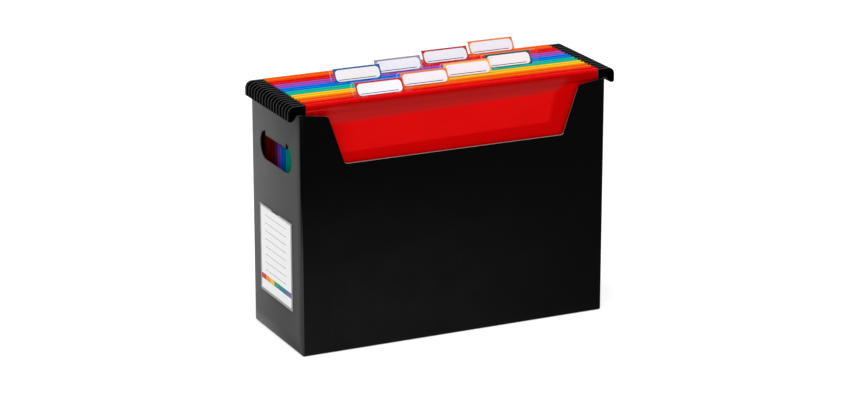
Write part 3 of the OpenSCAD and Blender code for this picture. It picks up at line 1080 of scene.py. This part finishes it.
def sleeve(i):
    """The clear sleeve of one tab with its prongs"""
    rail_y, base, tall, left, right = tab_place(i)
    foot = Vector((0, rail_y, base))
    turns = [pi / 2 * k / tab_corner_steps for k in range(tab_corner_steps + 1)]
    ends = [tab_corner * (1 - cos(turn)) for turn in turns]
    stations = [left + e for e in ends] + [right - e for e in reversed(ends)]
    half = tab_thick / 2
    edge = half * 0.6
    points, faces, kinds = [], [], []
    loop_size = 0
    for x in stations:
        reach = min(x - left, right - x, tab_corner)
        trim = tab_corner - sqrt(max(0, tab_corner ** 2 - (tab_corner - reach) ** 2))
        low_v, high_v = trim, tall - trim
        # Points 0 and 1 are the front, 2 to 4 the upper fold, 5 and 6 the back, 7 to 9 the lower fold
        loop = [(v, -half) for v in (low_v + fold_height, high_v - fold_height)]
        loop += [(high_v - fold_bulge, -edge), (high_v, 0), (high_v - fold_bulge, edge)]
        loop += [(v, half) for v in (high_v - fold_height, low_v + fold_height)]
        loop += [(low_v + fold_bulge, edge), (low_v, 0), (low_v + fold_bulge, -edge)]
        loop_size = len(loop)
        for v, depth in loop:
            points.append(foot + tab_up * v - tab_front * depth + Vector((x, 0, 0)))
    for k in range(len(stations) - 1):
        for j in range(loop_size):
            a = k * loop_size + j
            b = k * loop_size + (j + 1) % loop_size
            faces.append((a, b, b + loop_size, a + loop_size))
            if j in (0, 5) and 1 <= k < len(stations) - 2:
                kinds.append(0)
            else:
                kinds.append(2 if j > 5 or stations[k + 1] > right - tab_corner else 1)
    for first in (0, len(points) - loop_size):
        for a, b, c, d in ((0, 1, 5, 6), (1, 2, 4, 5), (6, 7, 9, 0)):
            faces.append(tuple(first + n for n in (a, b, c, d)))
            kinds.append(2 if first else 1)
        faces += [(first + 2, first + 3, first + 4), (first + 7, first + 8, first + 9)]
        kinds += [2, 2] if first else [1, 1]
    sleeve_mesh = solid(f"tab_{i}", points, faces, [tab_face, tab_rim_highlight, tab_dim_highlight])
    for face, kind in zip(sleeve_mesh.data.polygons, kinds):
        face.material_index = kind
    weld_points(sleeve_mesh, fine_gap)
    work = bmesh.new()
    work.from_mesh(sleeve_mesh.data)
    card_left, card_right = (corner.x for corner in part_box(f"file_{i}_tab_card"))
    for side in (-1, 1):
        prong(work, (card_left + card_right) / 2 + side * prong_spacing / 2, rail_y, base)
    work.to_mesh(sleeve_mesh.data)
    work.free()
    sleeve_mesh.data.set_sharp_from_angle(angle=radians(50))
    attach(sleeve_mesh, f"file_{i}_front")
    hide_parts(f"file_{i}_tab")


for file_number in range(1, file_count + 1):
    sleeve(file_number)

# The tab cards: slips of printed card in the clear tabs. Each has a border in its file's colour
# round a white window with wide corners, and one writing line.
slip_thick = 0.3 * mm
card_border = 1.9 * mm
window_corner = 4.6 * mm
foot_border = 0.4 * mm
tab_line_rise = 1.9 * mm
tab_line_width = 0.85 * mm
tab_line_left = 2.8 * mm
tab_line_right = 5.3 * mm
window_white = paper("window_white", (0.94, 0.925, 0.985), 0.4)
line_black = paper("line_black", (0.03, 0.02, 0.04))
border_colours = {
    "red": (0.56, 0.012, 0.025), "orange": (0.85, 0.23, 0.03), "yellow": (0.96, 0.52, 0.1),
    "green": (0.0, 0.09, 0.09), "blue": (0.0, 0.11, 0.36), "purple": (0.34, 0.27, 0.43),
}
border_papers = {word: paper(f"{word}_border", tone, 0.4) for word, tone in border_colours.items()}


def tab_card(i):
    """A slip with its border, its window and its line as cells of one sheet"""
    low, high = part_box(f"file_{i}_tab_card")
    middle = (low.x + high.x) / 2
    half = (high.x - low.x) / 2
    tall = (high.z - low.z - slip_thick * sin(tab_lean)) / cos(tab_lean)
    foot = Vector((middle, low.y, low.z + slip_thick * sin(tab_lean)))
    outline = [(-half, 0), (half, 0), (half, tall), (-half, tall)]
    window_half = half - card_border
    window_top = tall - card_border
    window = round_corners([
        (-window_half, foot_border, window_corner), (window_half, foot_border, window_corner),
        (window_half, window_top, window_corner), (-window_half, window_top, window_corner)], 8)
    line_left, line_right = tab_line_left - window_half, window_half - tab_line_right
    line_low, line_high = tab_line_rise, tab_line_rise + tab_line_width
    line = [(line_left, line_low), (line_right, line_low), (line_right, line_high), (line_left, line_high)]
    corners, edges = [], []
    for loop in (outline, window, line):
        first = len(corners)
        corners += [Vector(p) for p in loop]
        edges += [(first + k, first + (k + 1) % len(loop)) for k in range(len(loop))]
    cut = delaunay_2d_cdt(corners, edges, [], 0, 1e-7)
    points = [foot + tab_up * p.y + Vector((p.x, 0, 0)) for p in cut[0]]
    faces, prints = [], []
    for face in cut[2]:
        spot = sum((cut[0][k] for k in face), Vector((0, 0))) / 3
        faces.append(tuple(face))
        prints.append(2 if inside(spot, line) else 1 if inside(spot, window) else 0)
    border = border_papers[file_colours[i - 1]]
    slip = solid(f"tab_slip_{i}", points, faces, [border, window_white, line_black])
    colour_faces(slip, prints)
    thicken(slip, slip_thick)
    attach(slip, f"file_{i}_card")
    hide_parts(f"file_{i}_tab_card")


for file_number in range(1, file_count + 1):
    tab_card(file_number)

# The floor and the light: a plain white floor that looks white to the camera and in reflections
# and still takes the box's shadow, an even white surround, and two wide soft lamps, one high above
# the box's front and one low behind its left end.
floor_half = 8
floor_glow = 0.45
surround_light = 0.6


def seen_directly(tree):
    """1 for rays from the camera, mirrors and clear plastic, 0 for light that falls on things"""
    path = tree.nodes.new("ShaderNodeLightPath")
    first = tree.nodes.new("ShaderNodeMath")
    first.operation = "MAXIMUM"
    second = tree.nodes.new("ShaderNodeMath")
    second.operation = "MAXIMUM"
    tree.links.new(path.outputs["Is Camera Ray"], first.inputs[0])
    tree.links.new(path.outputs["Is Glossy Ray"], first.inputs[1])
    tree.links.new(first.outputs[0], second.inputs[0])
    tree.links.new(path.outputs["Is Transmission Ray"], second.inputs[1])
    return second.outputs[0]


floor_paint, floor_tree, floor_shader = surface("floor_white", 0.0)
floor_shader.inputs["Base Color"].default_value = (0.8, 0.8, 0.8, 1)
floor_shader.inputs["Roughness"].default_value = 1
floor_shader.inputs["Emission Color"].default_value = (1, 1, 1, 1)
glow = floor_tree.nodes.new("ShaderNodeMath")
glow.operation = "MULTIPLY"
glow.inputs[1].default_value = floor_glow
floor_tree.links.new(seen_directly(floor_tree), glow.inputs[0])
floor_tree.links.new(glow.outputs[0], floor_shader.inputs["Emission Strength"])
floor_signs = ((-1, -1), (1, -1), (1, 1), (-1, 1))
floor_corners = [(floor_half * x, floor_half * y, 0) for x, y in floor_signs]
floor = solid("floor", floor_corners, [(0, 1, 2, 3)], [floor_paint])

surround = bpy.data.worlds.new("surround")
surround.use_nodes = True
scene.world = surround
sky = surround.node_tree.nodes["Background"]
sky.inputs["Color"].default_value = (1, 1, 1, 1)
level = surround.node_tree.nodes.new("ShaderNodeMapRange")
level.inputs["To Min"].default_value = surround_light
level.inputs["To Max"].default_value = 1.0
surround.node_tree.links.new(seen_directly(surround.node_tree), level.inputs["Value"])
surround.node_tree.links.new(level.outputs["Result"], sky.inputs["Strength"])


def soft_lamp(name, place, width, height, power):
    """A wide lamp that faces the box and isn't in the picture itself"""
    lamp_data = bpy.data.lights.new(name, "AREA")
    lamp_data.shape = "RECTANGLE"
    lamp_data.size = width
    lamp_data.size_y = height
    lamp_data.energy = power
    lamp = bpy.data.objects.new(name, lamp_data)
    lamp.location = place
    lamp.rotation_euler = (Vector((0, 0, 0.15)) - Vector(place)).to_track_quat("-Z", "Y").to_euler()
    lamp.visible_camera = False
    scene.collection.objects.link(lamp)


soft_lamp("upper_lamp", (-0.2, -0.8, 2.3), 1.8, 1.4, 27)
soft_lamp("side_lamp", (-1.7, 1.9, 0.75), 1.4, 1.4, 25)
